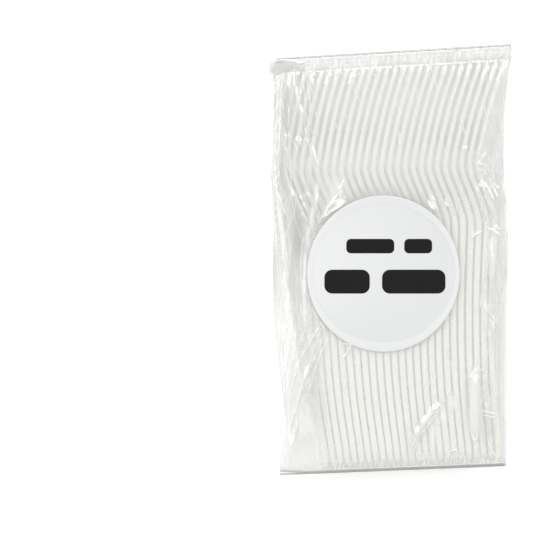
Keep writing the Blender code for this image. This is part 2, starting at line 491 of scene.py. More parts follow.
def fork_body(size):
    """The fork's solid: a grid eight points wide, thick at its rim and thin between, and four tines."""
    bm = bmesh.new()
    depth = bm.verts.layers.deform.verify()
    root = FORK_LENGTH - TINE_LENGTH

    def across(at, widths, weights):
        side = along(SIDE_LINE, at)
        made = []
        for width, weight in zip(widths, weights):
            vert = bm.verts.new((side, at - BOWL, width))
            vert[depth][0] = weight
            made.append(vert)
        return made

    step = (HEAD_WIDTH - 2 * TINE_LINE[0][1]) / (TINES - 1)
    places = [(tine - (TINES - 1) / 2) * step for tine in range(TINES)]
    at_root = [place + sign * TINE_LINE[0][1] for place in places for sign in (-1, 1)]
    rows = []
    for station in HANDLE_ROWS:
        at = station * MM
        half = along(HALF_LINE, at)
        rim = [half, half - size.rim_width, half - size.rim_width * LEDGE_FOOT, half * SPINE]
        handle = [-w for w in rim] + rim[::-1]
        head = min(max((at - HEAD_START) / (root - HEAD_START), 0.0), 1.0)
        head = head * head * (3 - 2 * head)
        spread = [half * w / at_root[-1] for w in at_root]
        widths = [h + (s - h) * head for h, s in zip(handle, spread)]
        web = size.web_share + (size.edge_share - size.web_share) * head
        end = 1.0 - min(at / END_LEDGE, 1.0)
        web += (size.edge_share - web) * end
        edge, ledge = size.edge_share, 1.0 + (size.edge_share - 1.0) * max(head, end)
        rows.append(across(at, widths, (edge, ledge, web, web, web, web, ledge, edge)))
    rows.append(across(root, at_root, (size.edge_share,) * 8))
    for near, far in zip(rows, rows[1:]):
        for i in range(len(near) - 1):
            bm.faces.new((near[i], near[i + 1], far[i + 1], far[i]))
    for tine, place in enumerate(places):
        strip = [rows[-1][2 * tine : 2 * tine + 2]]
        for share, half, lean in TINE_LINE[1:]:
            outer = tine in (0, TINES - 1)
            middle = place - math.copysign(lean, place) * outer
            thick = size.edge_share * (1.0 - TINE_THINNING * share)
            sides = (middle - half, middle + half)
            strip.append(across(root + share * TINE_LENGTH, sides, (thick, thick)))
        for (a, b), (c, d) in zip(strip, strip[1:]):
            bm.faces.new((a, b, d, c))
    bmesh.ops.recalc_face_normals(bm, faces=bm.faces)
    obj = scratch("fork_body", mesh_of(bm, "fork_body"))
    obj.vertex_groups.new(name="depth")
    wall = obj.modifiers.new("thickness", "SOLIDIFY")
    wall.thickness = size.fork_thickness
    wall.offset = 0.0
    wall.use_even_offset = True
    wall.vertex_group = "depth"
    edge = obj.modifiers.new("rounding", "BEVEL")
    edge.width = size.edge_radius
    edge.segments = 2
    edge.limit_method = "ANGLE"
    edge.angle_limit = math.radians(55)
    soft = obj.modifiers.new("smooth", "SUBSURF")
    soft.levels = 1
    soft.render_levels = 1
    return applied(obj)


def rib_tree():
    """Chevrons of raised ribs along a path, one pair at each step of it."""
    names = ("Spacing", "Length", "Width", "Height", "Angle", "Apart")
    tree, given = growth_tree("leaf_ribs", dict.fromkeys(names, "NodeSocketFloat"))
    get = given.beside
    sides = {"X": get("Height"), "Y": get("Length"), "Z": get("Width")}
    size = add(tree, "ShaderNodeCombineXYZ", inputs=sides)
    box = add(tree, "GeometryNodeMeshCube", inputs={"Size": size}, output="Mesh")
    pair = add(tree, "GeometryNodeJoinGeometry")
    for way in (1.0, -1.0):
        turn = add(tree, "ShaderNodeCombineXYZ", inputs={"X": get("Angle") * way})
        place = add(tree, "ShaderNodeCombineXYZ", inputs={"Z": get("Apart") * way})
        values = {"Geometry": box, "Translation": place, "Rotation": turn}
        put(tree, pair.link.node.inputs[0], add(tree, "GeometryNodeTransform", inputs=values))
    path = add(tree, "GeometryNodeMeshToCurve", inputs={"Mesh": given})
    values = {"Curve": path, "Length": get("Spacing")}
    steps = add(tree, "GeometryNodeResampleCurve", {"mode": "LENGTH"}, values)
    along_path = {"Vector": add(tree, "GeometryNodeInputTangent")}
    axes = {"axis": "Y", "pivot_axis": "Z"}
    align = add(tree, "FunctionNodeAlignRotationToVector", axes, along_path)
    values = {"Points": steps, "Instance": pair, "Rotation": align}
    copies = add(tree, "GeometryNodeInstanceOnPoints", inputs=values)
    return finished_tree(tree, copies, get("Material"))


def fork_ribs(size, material):
    """The herringbone of ribs moulded on the handle's front face."""
    face = size.fork_thickness * size.web_share / 2
    stops = [i * MM for i in range(RIBS_FROM, RIBS_TO)]
    points = [(along(SIDE_LINE, at) + face, at - BOWL, 0.0) for at in stops]
    mesh = bpy.data.meshes.new("rib_path")
    mesh.from_pydata(points, [(i, i + 1) for i in range(len(points) - 1)], [])
    values = {
        "Spacing": size.rib_spacing,
        "Length": 0.0046,
        "Width": 0.0005,
        "Height": 0.0005,
        "Angle": math.radians(52),
        "Apart": 0.00175,
        "Material": material,
    }
    return grown("fork_ribs", mesh, rib_tree(), values)


def joined(first, second):
    """One mesh of two."""
    bm = bmesh.new()
    bm.from_mesh(first)
    bm.from_mesh(second)
    return mesh_of(bm, first.name)


def box_centre(points):
    return (points.min(axis=0) + points.max(axis=0)) / 2


def points_of(mesh):
    found = np.empty(len(mesh.vertices) * 3)
    mesh.vertices.foreach_get("co", found)
    return found.reshape(-1, 3)


def turned_fork(base, name, tilt, turn):
    """A copy of the fork, turned, with its box's middle where the frame's node has its own."""
    mesh = base.copy()
    mesh.name = name
    mesh.transform(Euler((tilt, 0.0, turn)).to_matrix().to_4x4())
    low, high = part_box(name)
    shift = (low + high) / 2 - Vector(box_centre(points_of(mesh)))
    mesh.transform(Matrix.Translation(shift))
    return mesh


class PACK_OT_forks(bpy.types.Operator):
    """Makes the forks of both layers, each in its node's place"""

    bl_idname = "pack.forks"
    bl_label = "Forks"

    def execute(self, context):
        size, look = context.scene.pack_sizes, context.scene.pack_looks
        white = fork_plastic(look)
        base = joined(fork_body(size), fork_ribs(size, white))
        base.shade_smooth()
        base.set_sharp_from_angle(angle=math.radians(40))
        for layer, tilt in zip(LAYERS, TILTS):
            for i in range(FORKS_IN_LAYER):
                node = f"{layer}_{i + 1:02d}"
                turn = FAN * (FAN_CENTRE - i / (FORKS_IN_LAYER - 1))
                mesh = turned_fork(base, node, tilt, turn)
                new_piece(f"{node}_moulded", mesh, white, (node,))
        bpy.data.meshes.remove(base)
        return {"FINISHED"}


# ---------------------------------------------------------------- film bag

FILM_LOW, FILM_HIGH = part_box("film_bag")
TOP_SKEW = 0.06
BOTTOM_SKEW = 0.04
HALF_LENGTH = FILM_HIGH.y
LEFT_EDGE = (
    (-0.0822, -0.0425),
    (-0.0740, -0.0421),
    (-0.0620, -0.0400),
    (-0.0400, -0.0424),
    (-0.0140, -0.0447),
    (0.0120, -0.0449),
    (0.0400, -0.0456),
    (0.0680, -0.0446),
    (0.0730, -0.0450),
    (0.0770, -0.0454),
    (0.0811, -0.0436),
)
LEFT_SHOULDER = (
    (-0.0822, -0.0270),
    (-0.0600, -0.0300),
    (-0.0400, -0.0355),
    (0.0000, -0.0400),
    (0.0400, -0.0428),
    (0.0811, -0.0400),
)
RIGHT_EDGE = (
    (-0.0822, 0.0457),
    (-0.0400, 0.0458),
    (0.0040, 0.0460),
    (0.0190, 0.0456),
    (0.0280, 0.0446),
    (0.0520, 0.0446),
    (0.0700, 0.0462),
    (0.0811, 0.0475),
)
# How far the film's edges close together at the loose corner, along the bag
CORNER_CLOSE = (
    (-0.0822, 1.0),
    (-0.0700, 0.9),
    (-0.0500, 0.45),
    (-0.0300, 0.12),
    (-0.0100, 0.0),
    (0.0811, 0.0),
)


class PACK_OT_film(bpy.types.Operator):
    """Makes the clear film bag, with the folds that stand up from it and the tab at its corner"""

    bl_idname = "pack.film"
    bl_label = "Film bag"

    def execute(self, context):
        size, look = context.scene.pack_sizes, context.scene.pack_looks
        mesh = film_mesh(size)
        new_piece("film_bag_wrapped", mesh, film_material(look), ("film_bag",))
        fold_film = fold_material(look)
        new_piece("film_folds", fold_mesh(mesh, fold_film, size), fold_film)
        new_piece("film_corner_tab", tab_mesh(), bpy.data.materials["clear_film"])
        return {"FINISHED"}


# The folded tab at the loose corner: x, y, z and half width of its middle line, in millimetres
TAB = (
    (-33.0, 76.4, 60.3, 0.4),
    (-36.5, 76.0, 60.4, 1.3),
    (-40.5, 75.3, 60.3, 2.4),
    (-43.8, 74.4, 60.2, 3.0),
    (-46.0, 74.1, 60.1, 2.4),
    (-47.0, 74.2, 60.0, 0.7),
)


def tab_mesh():
    """A flat lobe of doubled film with two folds along it."""
    line = smooth_line(TAB, 8) * MM
    turn = np.linspace(0.0, 2 * math.pi, 40, endpoint=False)
    fold = 0.5 + 0.5 * np.cos(turn * 3.0)
    rings = []
    for x, y, z, half in line:
        thick = min(half * 0.25, 0.00022)
        side = y + half * np.cos(turn)
        up = z + thick * np.sin(turn) * (0.75 + 0.25 * fold)
        rings.append(np.stack([x + 0 * turn, side, up], axis=1))
    mesh = grid_mesh("film_corner_tab", np.array(rings))
    # Painted shade: the whole tab a little greyer
    layer = mesh.attributes.new("shade", "FLOAT", "POINT")
    layer.data.foreach_set("value", np.full(len(mesh.vertices), 0.4, np.float32))
    return mesh


def fold_tree():
    """Sweeps a round bead along each line, as wide as the line's own "bead" attribute says."""
    tree, given = growth_tree("film_beads", {"Sides": "NodeSocketInt"})
    path = add(tree, "GeometryNodeMeshToCurve", inputs={"Mesh": given})
    kind, values = {"data_type": "FLOAT"}, {"Name": "bead"}
    width = add(tree, "GeometryNodeInputNamedAttribute", kind, values, "Attribute")
    values = {"Resolution": given.beside("Sides"), "Radius": 1.0}
    circle = add(tree, "GeometryNodeCurvePrimitiveCircle", inputs=values)
    values = {"Curve": path, "Profile Curve": circle, "Scale": width, "Fill Caps": True}
    tube = add(tree, "GeometryNodeCurveToMesh", inputs=values)
    return finished_tree(tree, tube, given.beside("Material"))


def fold_mesh(film, material, size):
    """Thin beads of film along every fold, lying on the bag's skin."""
    skin = BVHTree.FromPolygons([v.co for v in film.vertices], [p.vertices for p in film.polygons])
    points, edges, beads = [], [], []
    listed = tuple((line, half * size.fold_width) for line, half in FOLDS)
    for line, half in listed + loose_folds():
        fine = smooth_line(line, 7) * MM
        share = np.linspace(0, 1, len(fine))
        swell = np.sin(np.clip(share, 0.03, 0.97) * math.pi) ** 0.55
        before = len(points)
        for (x, y), thick in zip(fine, swell * half * MM * 0.75):
            hit = skin.ray_cast(Vector((x, y, 0.2)), Vector((0, 0, -1)))[0]
            if hit is None or on_label(x, y) > 0.2:
                before = len(points)
                continue
            if len(points) > before:
                edges.append((len(points) - 1, len(points)))
            points.append((hit.x, hit.y, hit.z - thick * 0.35))
            beads.append(thick)
    mesh = bpy.data.meshes.new("film_folds")
    mesh.from_pydata(points, edges, [])
    mesh.attributes.new("bead", "FLOAT", "POINT").data.foreach_set("value", beads)
    made = grown("film_folds", mesh, fold_tree(), {"Sides": 8, "Material": material})
    made.shade_smooth()
    return made


def skewed(x, y):
    share = (y + HALF_LENGTH) / (2 * HALF_LENGTH)
    return y + x * (BOTTOM_SKEW + (TOP_SKEW - BOTTOM_SKEW) * share)


def unskewed(x, y):
    middle_skew = (BOTTOM_SKEW + TOP_SKEW) / 2
    slope = (TOP_SKEW - BOTTOM_SKEW) / (2 * HALF_LENGTH)
    return (y - x * middle_skew) / (1 + x * slope)


def fork_tops():
    """(y, z) of the upper forks' highest points along the bag, a little smoothed and never below them."""
    found = [points_of(obj.data) for obj in bpy.data.objects if obj.name.startswith(LAYERS[1])]
    points = np.vstack(found)
    along_bag = unskewed(points[:, 0], points[:, 1])
    stations = np.arange(-0.090, 0.0901, 0.001)
    step = np.rint((along_bag - stations[0]) / 0.001).astype(int)
    highest = np.zeros(len(stations))
    np.maximum.at(highest, step, points[:, 2])
    known = highest > 0
    highest = np.interp(stations, stations[known], highest[known])
    padded = np.pad(highest, 3, mode="edge")
    highest = np.max([padded[i : i + len(stations)] for i in range(7)], axis=0)
    padded = np.pad(highest, 3, mode="edge")
    return stations, np.mean([padded[i : i + len(stations)] for i in range(7)], axis=0)


def arc(centre, start, radius, count):
    angles = start + np.arange(count) * (math.pi / 2 / (count - 1))
    return np.stack([centre[0] + radius * np.cos(angles), centre[1] + radius * np.sin(angles)], axis=1)


def run(start, end, count, gather=0.0):
    """Points from start up to but not on end, gathered towards both ends where the film is loose."""
    t = np.arange(count)[:, None] / count
    t = t - gather * np.sin(2 * math.pi * t)
    return np.array(start) * (1 - t) + np.array(end) * t


# Points round a section: bottom right, right wall, top, left wall, bottom left, and each corner's
ROUND = {"bottom_right": 16, "right": 24, "top": 200, "left": 32, "bottom_left": 20, "corner": 5}
# The radius of the film's edges, how far its right wall leans in, where each ring starts under the
# bag, and how much the points of its top gather at both sides
EDGE_ROUND, WALL_LEAN, UNDER_MIDDLE, TOP_GATHER = 0.0022, 0.0004, 0.004, 0.081
# The seals' width and half thickness, and how deep the rounded ends behind them are
SEAL_WIDTH, SEAL_HALF, FACE_DEPTH = 0.0013, 0.00008, 0.0007


def film_section(y, high, close, low, middle):
    """One ring round the bag as (x, z), from under its middle towards +X, the same count at every y."""
    left, right = along(LEFT_EDGE, y), along(RIGHT_EDGE, y)
    shoulder = along(LEFT_SHOULDER, y)
    tall = high - low
    r = min(EDGE_ROUND, tall * 0.49)
    n, c = ROUND, ROUND["corner"]
    edge = low + r + (middle - low - r) * close
    r_left = min(r, r * (1 - close) + 0.0004)
    top_right = right - WALL_LEAN
    parts = [
        run((UNDER_MIDDLE, low), (right - r, low), n["bottom_right"]),
        arc((right - r, low + r), -math.pi / 2, r, c),
        run((right, low + r), (top_right, high - r), n["right"])[1:],
        arc((top_right - r, high - r), 0.0, r, c),
        run((top_right - r, high), (shoulder + r, high), n["top"], TOP_GATHER)[1:],
        arc((shoulder + r, high - r), math.pi / 2, r, c),
        run((shoulder, high - r), (left, edge), n["left"])[1:],
        arc((left + r_left, edge), math.pi, r_left, c),
    ]
    under = run((left + r_left, edge - r_left), (UNDER_MIDDLE, low), n["bottom_left"])[1:]
    sag = np.linspace(0, 1, len(under))
    under[:, 1] = low + (edge - r_left - low) * (1 - np.minimum(sag * 2.6, 1.0)) ** 2
    parts.append(under)
    return np.vstack(parts)


def film_rows(size):
    """(y, low, high, middle, gather) for every ring: low and high close to a flat seal at each end."""
    stations, tops = fork_tops()

    def film_top(y):
        return float(np.interp(y, stations, tops)) + size.film_gap

    top_end = HALF_LENGTH - TOP_SKEW * FILM_HIGH.x
    bottom_end = -HALF_LENGTH - BOTTOM_SKEW * LEFT_EDGE[0][1]
    top_face, bottom_face = top_end - SEAL_WIDTH, bottom_end + SEAL_WIDTH
    top_middle, bottom_middle = film_top(0.079) * 0.72, film_top(-0.080) * 0.5

    def seal_rows(start, end, middle):
        low, high = middle - SEAL_HALF, middle + SEAL_HALF
        return [(y, low, high, middle, 0.0) for y in np.linspace(start, end, 4)]

    def face_rows(face, way, middle, turns):
        """Rings that open from a seal to the bag's whole height."""
        found = []
        for t in turns:
            rise = math.sin(t * math.pi / 2) ** 0.8
            y = face + way * FACE_DEPTH * (1 - math.cos(t * math.pi / 2))
            high = middle + (film_top(y) - middle) * rise
            found.append((y, middle * (1 - rise), high, middle, t))
        return found

    rows = seal_rows(bottom_end, bottom_face, bottom_middle)
    rows += face_rows(bottom_face, 1, bottom_middle, np.linspace(0.0, 1.0, 12)[1:])
    for y in np.linspace(bottom_face + FACE_DEPTH, top_face - FACE_DEPTH, 268)[1:-1]:
        share = (y - bottom_face) / (top_face - bottom_face)
        middle = bottom_middle + (top_middle - bottom_middle) * share
        rows.append((y, 0.0, film_top(y), middle, 1.0))
    rows += face_rows(top_face, -1, top_middle, np.linspace(1.0, 0.0, 14)[:-1])
    return rows + seal_rows(top_face, top_end, top_middle)


def grid_normals(points):
    """Outward normals of a grid of rings."""
    round_way = np.roll(points, -1, axis=1) - np.roll(points, 1, axis=1)
    long_way = np.gradient(points, axis=0)
    normal = np.cross(round_way, long_way)
    return normal / np.maximum(np.linalg.norm(normal, axis=2, keepdims=True), 1e-12)


# Folds that stand up from the film: points (x, y) in millimetres, then the fold's half width there.
FOLDS = (
    # long folds of loose film down the left side, from the head end
    (((-37.0, 72.6), (-36.7, 66.7), (-35.5, 62.1), (-34.3, 56.6), (-34.0, 51.2), (-33.6, 47.7)), 0.34),
    (((-39.4, 60.5), (-39.0, 55.1), (-39.4, 50.4)), 0.26),
    (((-41.4, 50.0), (-40.2, 47.2), (-40.8, 44.2), (-39.6, 42.0)), 0.40),
    (((-39.2, 49.4), (-38.6, 46.5), (-39.2, 43.0)), 0.34),
    (((-36.6, 47.0), (-35.2, 46.2), (-34.2, 44.4)), 0.52),
    (((-37.4, 46.0), (-36.2, 43.4), (-36.4, 38.6), (-36.9, 34.0)), 0.30),
    (((-32.8, 47.3), (-30.5, 43.5), (-28.5, 38.8), (-27.4, 35.7)), 0.36),
    (((-31.2, 71.4), (-29.9, 68.6), (-28.1, 66.0)), 0.30),
    (((-33.6, 68.0), (-32.6, 60.0), (-32.9, 52.0), (-31.6, 46.0)), 0.22),
    (((-30.6, 66.0), (-30.9, 58.0), (-30.2, 51.0)), 0.20),
    (((-40.6, 44.0), (-40.9, 37.0), (-39.4, 31.0), (-38.0, 27.0)), 0.24),
    (((-38.6, 44.5), (-38.4, 38.0), (-37.0, 31.5), (-34.6, 24.0)), 0.26),
    (((-34.6, 42.0), (-34.4, 36.0), (-32.6, 29.0), (-31.0, 23.0)), 0.24),
    (((-31.4, 40.0), (-32.2, 34.0), (-30.4, 27.0)), 0.22),
    # beside the label, on its left
    (((-27.4, 28.7), (-29.1, 23.3), (-29.7, 16.3), (-31.2, 10.1), (-32.6, 3.1), (-32.9, -6.0)), 0.46),
    (((-32.9, -3.0), (-32.8, -11.6), (-32.2, -20.2), (-32.0, -28.0)), 0.42),
    (((-37.8, 22.5), (-38.6, 15.5), (-40.5, 6.2), (-41.1, -1.6), (-40.3, -7.8), (-38.6, -14.0)), 0.36),
    (((-45.0, 32.2), (-43.7, 28.7), (-42.5, 24.8), (-40.9, 20.2), (-39.8, 17.1)), 0.55),
    (((-36.7, 26.4), (-34.7, 21.0), (-32.4, 16.3), (-30.5, 13.6)), 0.38),
    (((-39.8, 31.8), (-37.8, 27.9), (-35.9, 24.8)), 0.36),
    (((-36.2, 30.0), (-33.8, 24.0), (-31.6, 18.6)), 0.28),
    (((-33.2, 9.3), (-34.0, 3.9), (-34.3, -4.7), (-34.0, -12.0)), 0.40),
    (((-40.5, -7.8), (-42.4, -13.0), (-43.4, -20.2)), 0.28),
    (((-39.6, -9.0), (-40.9, -16.0), (-41.6, -24.0)), 0.26),
    (((-38.4, -12.0), (-38.6, -20.0), (-39.8, -28.0)), 0.30),
    (((-30.1, -18.6), (-26.9, -24.1), (-24.4, -27.6)), 0.34),
    (((-36.7, -17.8), (-37.2, -22.0), (-37.8, -27.2)), 0.30),
    (((-34.7, -20.2), (-35.0, -24.0), (-35.5, -28.2)), 0.32),
    # diagonal folds to the loose corner
    (((-26.2, -26.4), (-28.9, -33.4), (-30.8, -40.4), (-33.6, -48.9), (-35.9, -57.4),
      (-37.8, -64.4), (-38.6, -67.5)), 0.62),
    (((-27.0, -25.6), (-30.8, -31.8), (-34.0, -38.0), (-36.7, -46.6), (-38.6, -54.3)), 0.40),
    (((-23.9, -30.3), (-27.0, -37.2), (-28.9, -43.5), (-30.8, -49.7), (-34.3, -56.6)), 0.40),
    (((-25.2, -28.6), (-28.2, -36.0), (-31.4, -44.0), (-34.9, -53.0)), 0.30),
    (((-32.8, -23.3), (-31.2, -31.0), (-30.1, -34.9)), 0.34),
    (((-37.0, -25.6), (-38.6, -32.6), (-39.4, -38.8), (-40.6, -45.8)), 0.34),
    (((-34.6, -30.0), (-37.0, -40.0), (-38.9, -49.0)), 0.28),
    (((-40.9, -27.9), (-41.3, -35.7), (-40.4, -43.5)), 0.28),
    (((-28.5, -45.8), (-27.4, -54.3), (-26.4, -63.6), (-24.4, -72.9), (-23.0, -77.6)), 0.30),
    (((-27.4, -47.0), (-26.0, -56.0), (-24.6, -66.0)), 0.22),
    (((-35.1, -60.5), (-36.3, -68.0), (-37.8, -72.9)), 0.40),
    (((-18.8, -32.4), (-15.2, -32.8), (-16.0, -35.6), (-18.2, -37.8)), 0.46),
    (((-19.6, 29.6), (-21.6, 25.0), (-24.6, 19.6), (-27.6, 14.0)), 0.80),
    (((-17.4, 31.4), (-19.0, 28.2), (-21.8, 24.4)), 0.50),
    # near the right edge
    (((28.8, 43.6), (29.6, 42.4)), 0.60),
    (((33.2, 41.9), (35.5, 40.4), (37.1, 41.5), (35.4, 38.6), (34.7, 37.4), (37.1, 36.5)), 0.34),
    (((33.2, 37.2), (36.2, 37.2), (36.4, 34.9), (33.4, 35.6)), 0.26),
    (((35.6, 32.0), (36.8, 29.4)), 0.44),
    (((38.6, 33.0), (40.2, 30.2), (41.8, 28.6)), 0.36),
    (((32.0, 8.9), (34.0, 10.4), (36.3, 11.3)), 0.40),
    (((37.8, 12.8), (40.9, 11.3), (43.7, 9.3)), 0.50),
    (((40.6, 13.4), (43.3, 12.2), (43.4, 18.6)), 0.34),
    (((36.6, 27.0), (38.8, 21.0), (41.6, 15.6)), 0.22),
    (((34.4, 25.0), (36.6, 19.0), (39.6, 13.8)), 0.22),
    (((38.6, 7.8), (39.4, 3.9), (40.2, -1.6), (40.9, -4.7)), 0.48),
    (((38.4, 6.4), (38.2, -1.6), (36.3, -10.9), (35.5, -17.1), (36.7, -21.0)), 0.30),
    (((38.6, -17.2), (38.6, -20.2), (40.9, -23.3), (39.4, -27.2)), 0.34),
    (((36.6, -16.0), (37.6, -20.0), (37.0, -24.4), (38.4, -28.6)), 0.28),
    (((42.9, -1.6), (42.5, -9.3), (43.3, -15.5)), 0.26),
    (((44.2, 8.0), (44.4, -20.0), (44.0, -48.0), (43.6, -76.0)), 0.24),
    (((42.0, -24.0), (41.8, -46.0), (41.4, -74.0)), 0.20),
    (((15.6, 25.6), (17.0, 23.0), (18.4, 19.4)), 0.85),
    (((21.5, 24.1), (23.1, 21.0)), 0.40),
    # lower right
    (((20.6, -55.2), (16.6, -59.6), (12.6, -65.0), (9.9, -69.8), (8.8, -75.0)), 0.80),
    (((33.4, -43.8), (33.2, -50.0), (33.1, -58.0), (33.2, -68.4)), 1.00),
    (((39.0, -23.3), (40.5, -26.4), (39.0, -30.3), (40.2, -31.8)), 0.34),
    (((38.2, -34.9), (37.8, -41.1), (36.9, -46.4), (36.9, -52.0), (35.4, -56.8)), 0.34),
    (((36.7, -42.7), (33.6, -43.1), (31.9, -45.8), (31.6, -52.0), (31.6, -62.1),
      (32.6, -69.0), (34.2, -69.2), (34.7, -62.1), (35.1, -55.9), (35.0, -48.0)), 0.46),
    (((35.9, -58.4), (38.6, -59.2), (41.6, -59.8)), 0.36),
    (((36.4, -60.0), (39.0, -60.9), (41.8, -61.2)), 0.28),
    (((37.4, -55.6), (38.2, -58.4)), 0.40),
    (((21.9, -53.9), (18.8, -56.6), (14.2, -62.1), (10.3, -67.5), (8.0, -71.8), (8.2, -76.4)), 0.46),
    (((22.0, -54.4), (18.4, -59.8), (13.9, -66.0), (11.3, -69.8), (9.3, -76.2)), 0.34),
    (((10.4, -76.2), (11.8, -75.0), (13.2, -76.2), (12.0, -77.6), (10.4, -76.2)), 0.24),
    (((24.0, -77.2), (24.0, -74.2), (26.2, -74.0), (26.4, -77.2)), 0.34),
    (((27.4, -76.0), (28.0, -78.2)), 0.30),
    (((39.0, -65.2), (38.5, -69.8), (39.8, -73.7), (42.0, -77.0)), 0.30),
    # folded tab at the loose corner of the head end
    (((-47.0, 75.0), (-44.0, 75.6), (-40.0, 75.8), (-36.0, 75.0)), 0.30),
    (((-46.6, 73.4), (-44.2, 73.0), (-41.4, 74.2), (-38.0, 74.9)), 0.24),
    (((-44.8, 72.0), (-44.2, 69.4), (-44.6, 66.4)), 0.28),
)
# Broad soft swellings of film: middle, half sizes, height, all in millimetres
SWELLS = (
    ((-21.0, 25.0), (4.0, 5.0), 0.8),
    ((-36.0, 8.0), (2.6, 12.0), 1.0),
    ((33.2, -57.0), (1.5, 12.0), 0.9),
    ((15.0, -64.0), (2.0, 9.0), 0.4),
    ((-33.0, -52.0), (2.6, 12.0), 1.2),
    ((-38.0, 60.0), (3.4, 14.0), 0.8),
    ((41.0, 0.0), (1.8, 14.0), 0.8),
    ((38.6, -66.0), (2.4, 7.0), -0.5),
)
# Smooth panels of painted shade, where the film is greyer: middle, half sizes in millimetres, strength
PAINTED_SHADE_PANELS = (
    ((-35.6, 9.0), (2.6, 13.0), 0.8),
    ((-42.0, 60.0), (3.4, 13.0), 0.8),
    ((-43.0, 36.0), (2.6, 14.0), 0.6),
    ((-43.6, 4.0), (2.0, 22.0), 0.5),
    ((38.4, -66.5), (2.6, 6.0), 0.35),
    ((43.0, 40.0), (2.6, 26.0), 0.2),
    ((-44.0, 74.0), (3.6, 3.4), 0.8),
    ((40.0, -12.0), (1.2, 10.0), 0.3),
    ((-34.0, -58.0), (9.0, 18.0), 0.35),
)
# Areas of painted highlight, where the film is whiter, the same way
PAINTED_HIGHLIGHTS = (
    ((-21.0, 26.0), (5.0, 7.0), 0.35),
    ((0.0, 36.0), (46.0, 11.0), 0.30),
    ((4.0, 60.0), (42.0, 14.0), 0.33),
    ((33.2, -56.0), (1.5, 11.5), 0.75),
    ((21.0, -60.5), (1.3, 3.6), 0.6),
    ((17.2, -66.5), (1.0, 4.6), 0.6),
    ((24.6, -55.5), (1.6, 3.2), 0.6),
    ((39.6, 1.5), (0.9, 8.5), 0.75),
    ((37.4, -21.0), (0.9, 6.0), 0.6),
    ((16.5, 22.0), (1.1, 2.6), 0.9),
    ((-28.4, 25.0), (0.8, 5.0), 0.8),
    ((-30.0, 16.5), (0.8, 5.0), 0.8),
    ((-31.4, 8.0), (0.8, 5.0), 0.8),
    ((-32.8, -1.0), (0.8, 5.0), 0.8),
    ((-33.3, -10.0), (0.8, 5.0), 0.7),
    ((-33.0, -20.0), (0.8, 6.0), 0.7),
)


def spread(x, y, middle, half):
    """1 at the middle of an area and falling softly to 0 beyond its half sizes, in millimetres."""
    across, up = (x / MM - middle[0]) / half[0], (y / MM - middle[1]) / half[1]
    return np.exp(-((across**2 + up**2) ** 1.5))


def crease_heights(x, y):
    """The creases' height at each point and how near it is to a crest, from its distance to each line."""
    total, crest = np.zeros_like(x), np.zeros_like(x)
    for points, half in FOLDS + loose_folds():
        line = smooth_line(points, 6) * MM
        width, height = half * MM * 1.9, half * MM * 1.2
        low, high = line.min(axis=0) - 6 * width, line.max(axis=0) + 6 * width
        near = (x > low[0]) & (x < high[0]) & (y > low[1]) & (y < high[1])
        px, py = x[near], y[near]
        best = np.full(px.shape, 1.0)
        taper = np.zeros(px.shape)
        count = len(line) - 1
        for i in range(count):
            (ax, ay), (bx, by) = line[i], line[i + 1]
            dx, dy = bx - ax, by - ay
            t = np.clip(((px - ax) * dx + (py - ay) * dy) / (dx * dx + dy * dy), 0, 1)
            away = np.hypot(px - ax - t * dx, py - ay - t * dy)
            closer = away < best
            best = np.where(closer, away, best)
            taper = np.where(closer, (i + t) / count, taper)
        swell = np.sin(np.clip(taper, 0.02, 0.98) * math.pi) ** 0.6
        total[near] += height * swell * np.exp(-((best / width) ** 1.5))
        crest[near] += min(half * 2, 1.0) * swell * np.exp(-((best / (0.6 * width)) ** 2))
    for middle, half_sizes, height in SWELLS:
        total += height * MM * spread(x, y, middle, half_sizes)
    return total, crest


# Faint rows of pressed dots across the film: from x, to x, y, in millimetres
SEAL_DOTS = ((-36.0, -2.0, 71.8), (-24.0, -2.5, 51.0), (23.0, 31.0, 55.6))
# Loose film wrinkles at random here: middle, half sizes, count, length, lean and half width
LOOSE_AREAS = (
    ((-34.0, 42.0), (8.0, 30.0), 22, 16.0, -0.12, 0.22),
    ((-37.5, 5.0), (5.0, 28.0), 9, 18.0, 0.12, 0.22),
    ((-34.0, -40.0), (6.0, 16.0), 12, 16.0, 0.40, 0.22),
    ((41.5, 5.0), (3.0, 35.0), 16, 12.0, -0.05, 0.22),
    ((40.5, -50.0), (3.4, 22.0), 9, 12.0, 0.05, 0.20),
    ((37.5, 33.0), (5.0, 9.0), 12, 5.0, -0.4, 0.24),
    ((4.0, 48.0), (34.0, 24.0), 34, 9.0, -0.22, 0.17),
    ((5.0, -55.0), (28.0, 20.0), 12, 8.0, 0.12, 0.16),
    ((33.0, 16.0), (8.0, 16.0), 16, 7.0, 0.45, 0.20),
)


